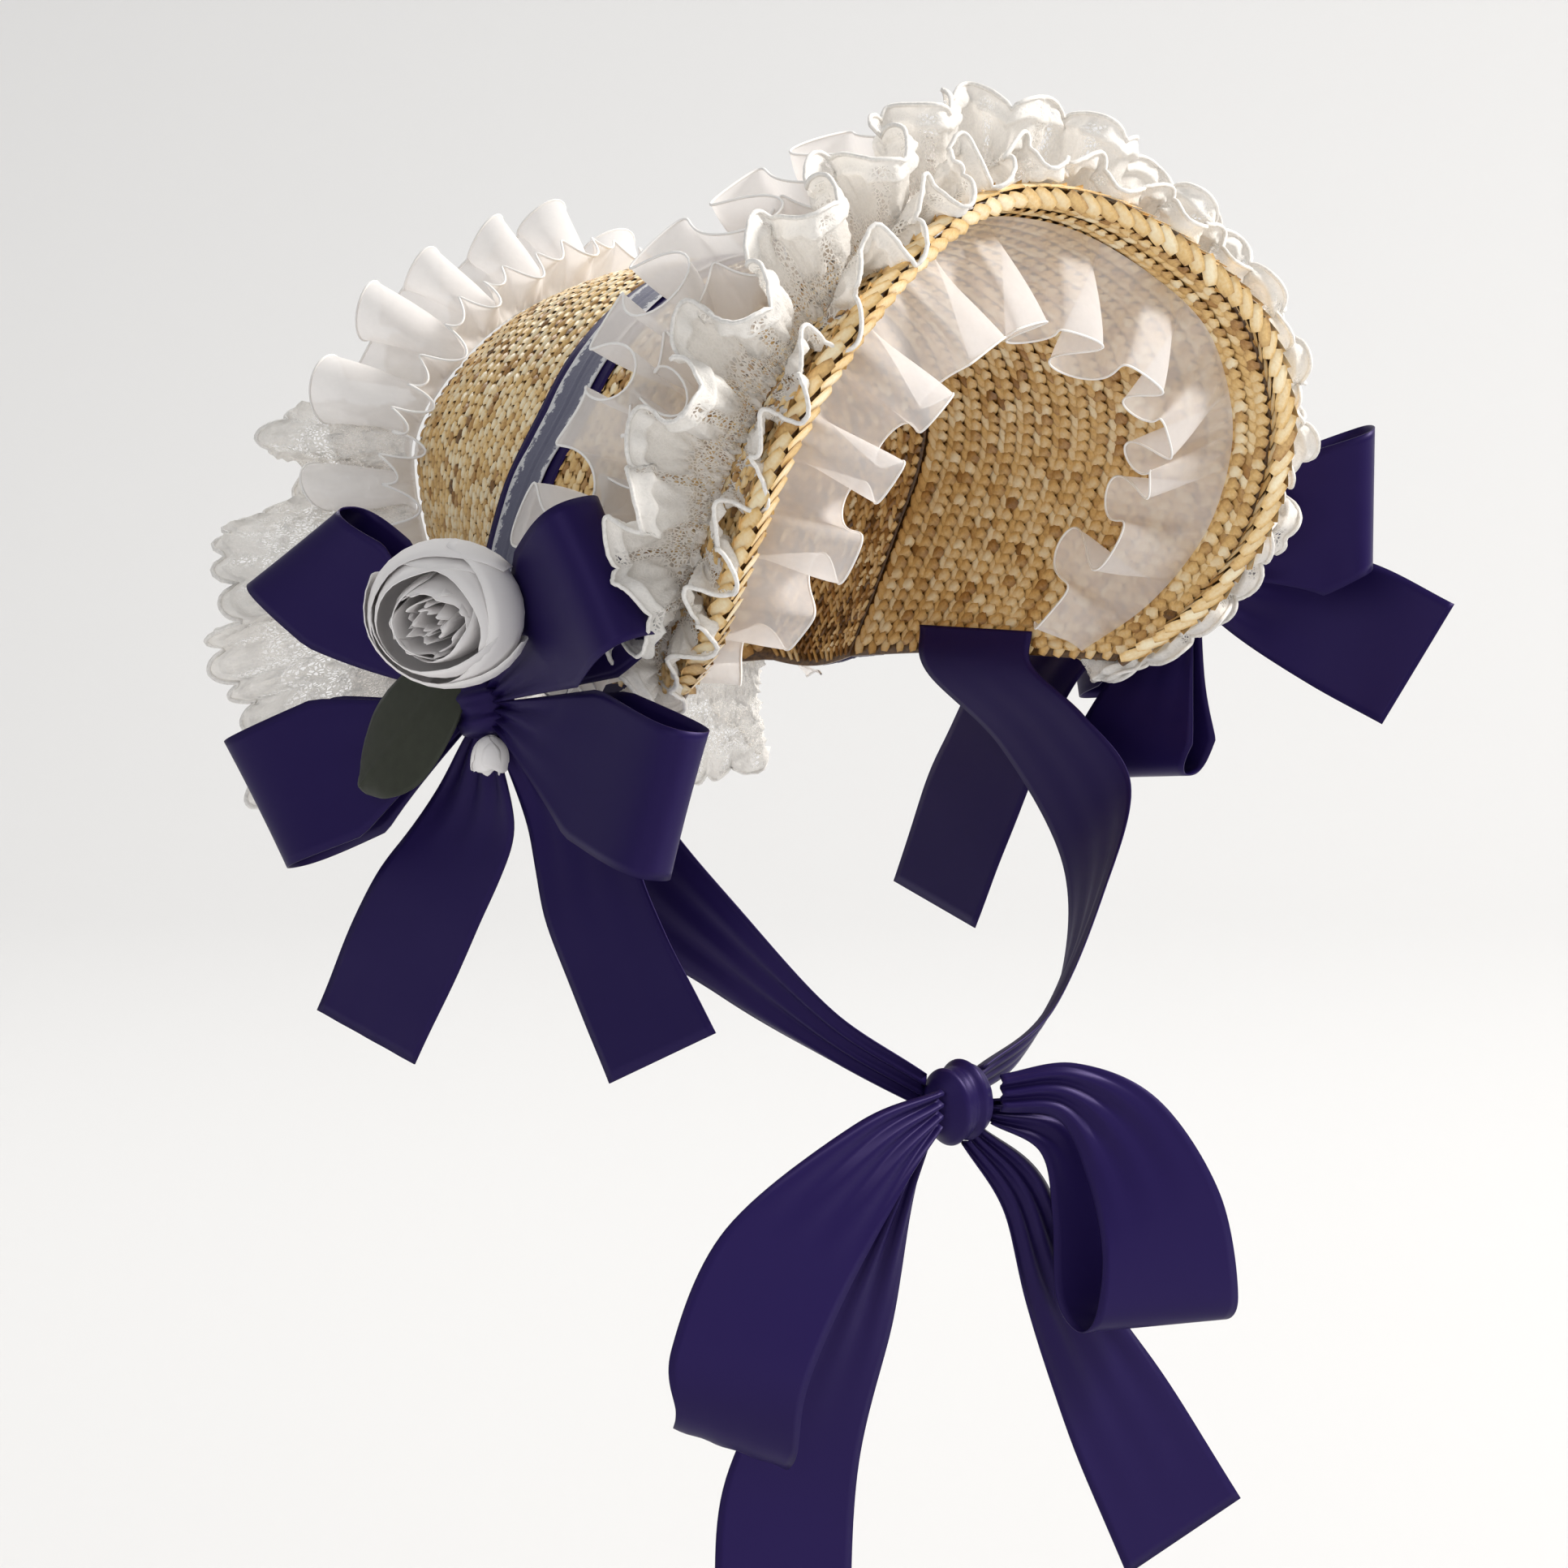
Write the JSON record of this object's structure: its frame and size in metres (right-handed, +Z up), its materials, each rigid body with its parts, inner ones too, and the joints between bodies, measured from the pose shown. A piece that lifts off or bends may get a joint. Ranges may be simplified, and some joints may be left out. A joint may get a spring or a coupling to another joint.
{
  "type": "poke bonnet",
  "caption": "Open-fronted straw bonnet with lace and organza ruffles, a ribbon band, side bows with roses, and ribbon ties knotted in a bow under the chin.",
  "frame": {"origin": "top of the wearer's head on the symmetry plane, under the crown, where the bonnet sits", "axes": "+X towards the wearer's left, -Y towards the front opening, +Z up; the chin ties hang towards -Z"},
  "size_m": [0.3714, 0.3208, 0.4962],
  "materials": {
    "straw": "plaited straw, satin",
    "ribbon": "satin ribbon",
    "tape": "sheer matt tape",
    "organza": "sheer organza",
    "lace": "embroidered openwork lace",
    "petal": "matt silk",
    "leaf": "matt pressed cloth"
  },
  "bodies": {
    "root": {"crown": "straw", "brim": "straw", "rim": "straw", "band_ribbon": "ribbon", "right_bow_knot": "ribbon", "left_bow_knot": "ribbon", "right_bow_upper_back_loop": "ribbon", "right_bow_lower_back_loop": "ribbon", "right_bow_upper_front_loop": "ribbon", "right_bow_lower_front_loop": "ribbon", "left_bow_upper_back_loop": "ribbon", "left_bow_lower_back_loop": "ribbon", "left_bow_upper_front_loop": "ribbon", "left_bow_lower_front_loop": "ribbon", "right_bow_back_tail": "ribbon", "right_bow_front_tail": "ribbon", "left_bow_front_tail": "ribbon", "left_bow_back_tail": "ribbon", "chin_tie_right": "ribbon", "chin_tie_left": "ribbon", "chin_tail_right": "ribbon", "chin_tail_left": "ribbon", "chin_loop_right": "ribbon", "chin_loop_left": "ribbon", "chin_knot": "ribbon", "band_tape": "tape", "brim_organza_ruffle": "organza", "inner_organza_frill": "organza", "back_organza_ruffle": "organza", "brim_lace_ruffle": "lace", "back_lace_ruffle": "lace", "right_rose": "petal", "left_rose": "petal", "right_rosebud": "petal", "right_leaf": "leaf", "left_leaf": "leaf"}
  },
  "joints": []
}
